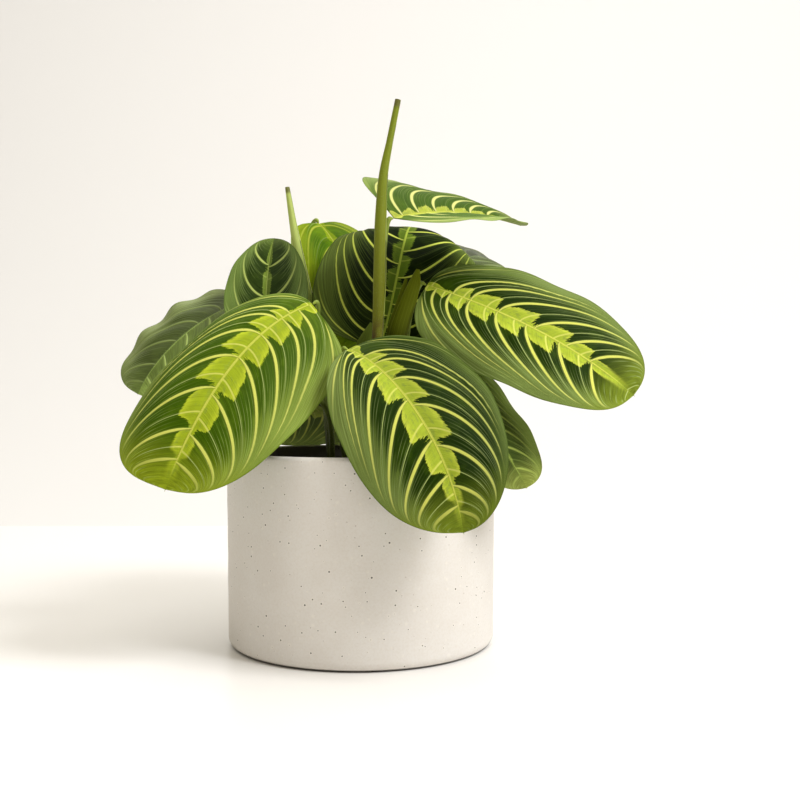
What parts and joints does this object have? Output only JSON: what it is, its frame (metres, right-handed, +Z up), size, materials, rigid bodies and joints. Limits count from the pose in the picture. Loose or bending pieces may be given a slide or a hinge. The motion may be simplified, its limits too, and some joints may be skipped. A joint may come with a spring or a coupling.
{
  "type": "potted prayer plant",
  "caption": "Prayer plant with broad dark green leaves veined in lime yellow, growing from soil in a plain pale speckled ceramic cylinder pot.",
  "frame": {"origin": "centre of the pot's flat base, on the surface that it stands on", "axes": "+Z up, the front of the plant faces -Y, the large leaf that points sideways points along +X"},
  "size_m": [0.2679, 0.2228, 0.2768],
  "materials": {
    "pot": "matte, speckled",
    "soil": "crumbly",
    "blade_front": "satin",
    "blade_shade": "satin",
    "blade_bright": "satin",
    "blade_back": "satin",
    "stalk": "satin",
    "rolled": "satin",
    "young": "satin"
  },
  "bodies": {
    "root": {"pot": "pot", "stalk_front_left": "stalk", "leaf_front_left": "blade_front", "stalk_front_centre": "stalk", "leaf_front_centre": "blade_front", "stalk_right": "stalk", "leaf_right": "blade_front", "stalk_top_right": "stalk", "leaf_top_right": "blade_front", "stalk_centre_back": "stalk", "leaf_centre_back": "blade_shade", "stalk_left_small": "stalk", "leaf_left_small": "blade_shade", "stalk_back_bright": "stalk", "leaf_back_bright": "blade_bright", "stalk_left_drooping": "stalk", "leaf_left_drooping": "blade_back", "stalk_right_low": "stalk", "leaf_right_low": "blade_shade", "stalk_back_right": "stalk", "leaf_back_right": "blade_back", "stalk_rear_left": "stalk", "leaf_rear_left": "blade_front", "stalk_rear_right": "stalk", "leaf_rear_right": "blade_front", "stalk_far_left": "stalk", "leaf_far_left": "blade_front", "stalk_far_right": "stalk", "leaf_far_right": "blade_front", "stalk_low_left": "stalk", "leaf_low_left": "blade_front", "stalk_low_right": "stalk", "leaf_low_right": "blade_front", "rolled_leaf_tall": "rolled", "rolled_leaf_small": "young", "folded_young_leaf": "young", "sheath": "young", "soil": "soil"}
  },
  "joints": []
}
